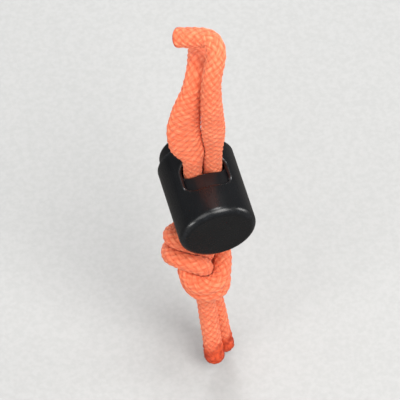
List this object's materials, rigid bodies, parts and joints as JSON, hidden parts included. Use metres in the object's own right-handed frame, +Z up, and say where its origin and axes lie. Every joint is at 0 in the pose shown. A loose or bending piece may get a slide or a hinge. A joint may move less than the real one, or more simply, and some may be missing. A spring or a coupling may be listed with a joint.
{
  "type": "cord lock",
  "caption": "Spring cord lock: a round barrel with a press button that grips two braided drawcord strands, tied below it in an overhand knot.",
  "frame": {"origin": "the centre of the barrel's closed end, on its outer face; the cord hole's axis is 10.4 mm inward along +Y", "axes": "+Z up along the cord hole, so the cords run vertically and the knot hangs below; -Y out of the barrel's closed end; +Y out of the button; +X to the right seen from the closed end"},
  "size_m": [0.0175, 0.0282, 0.0872],
  "materials": {
    "barrel_plastic": "moulded black acetal, satin gloss",
    "plunger_plastic": "moulded black acetal, a little duller than the barrel",
    "spring_steel": "drawn spring wire",
    "braided_cord": "braided polyester, salmon orange, melted tips"
  },
  "bodies": {
    "drawcord": {"cord_left": "braided_cord", "cord_right": "braided_cord"},
    "lock": {"barrel": "barrel_plastic", "spring": "spring_steel"},
    "plunger": {"plunger": "plunger_plastic"}
  },
  "joints": [
    {"name": "lock_slide", "type": "slide", "parent": "drawcord", "child": "lock", "axis": [0, 0, 1], "range_m": [0, 0.004]},
    {"name": "plunger_press", "type": "slide", "parent": "lock", "child": "plunger", "axis": [0, -1, 0], "range_m": [0, 0.0035], "stiffness_N_per_m": 200, "springref_m": -0.002, "deforming": ["spring"]}
  ]
}
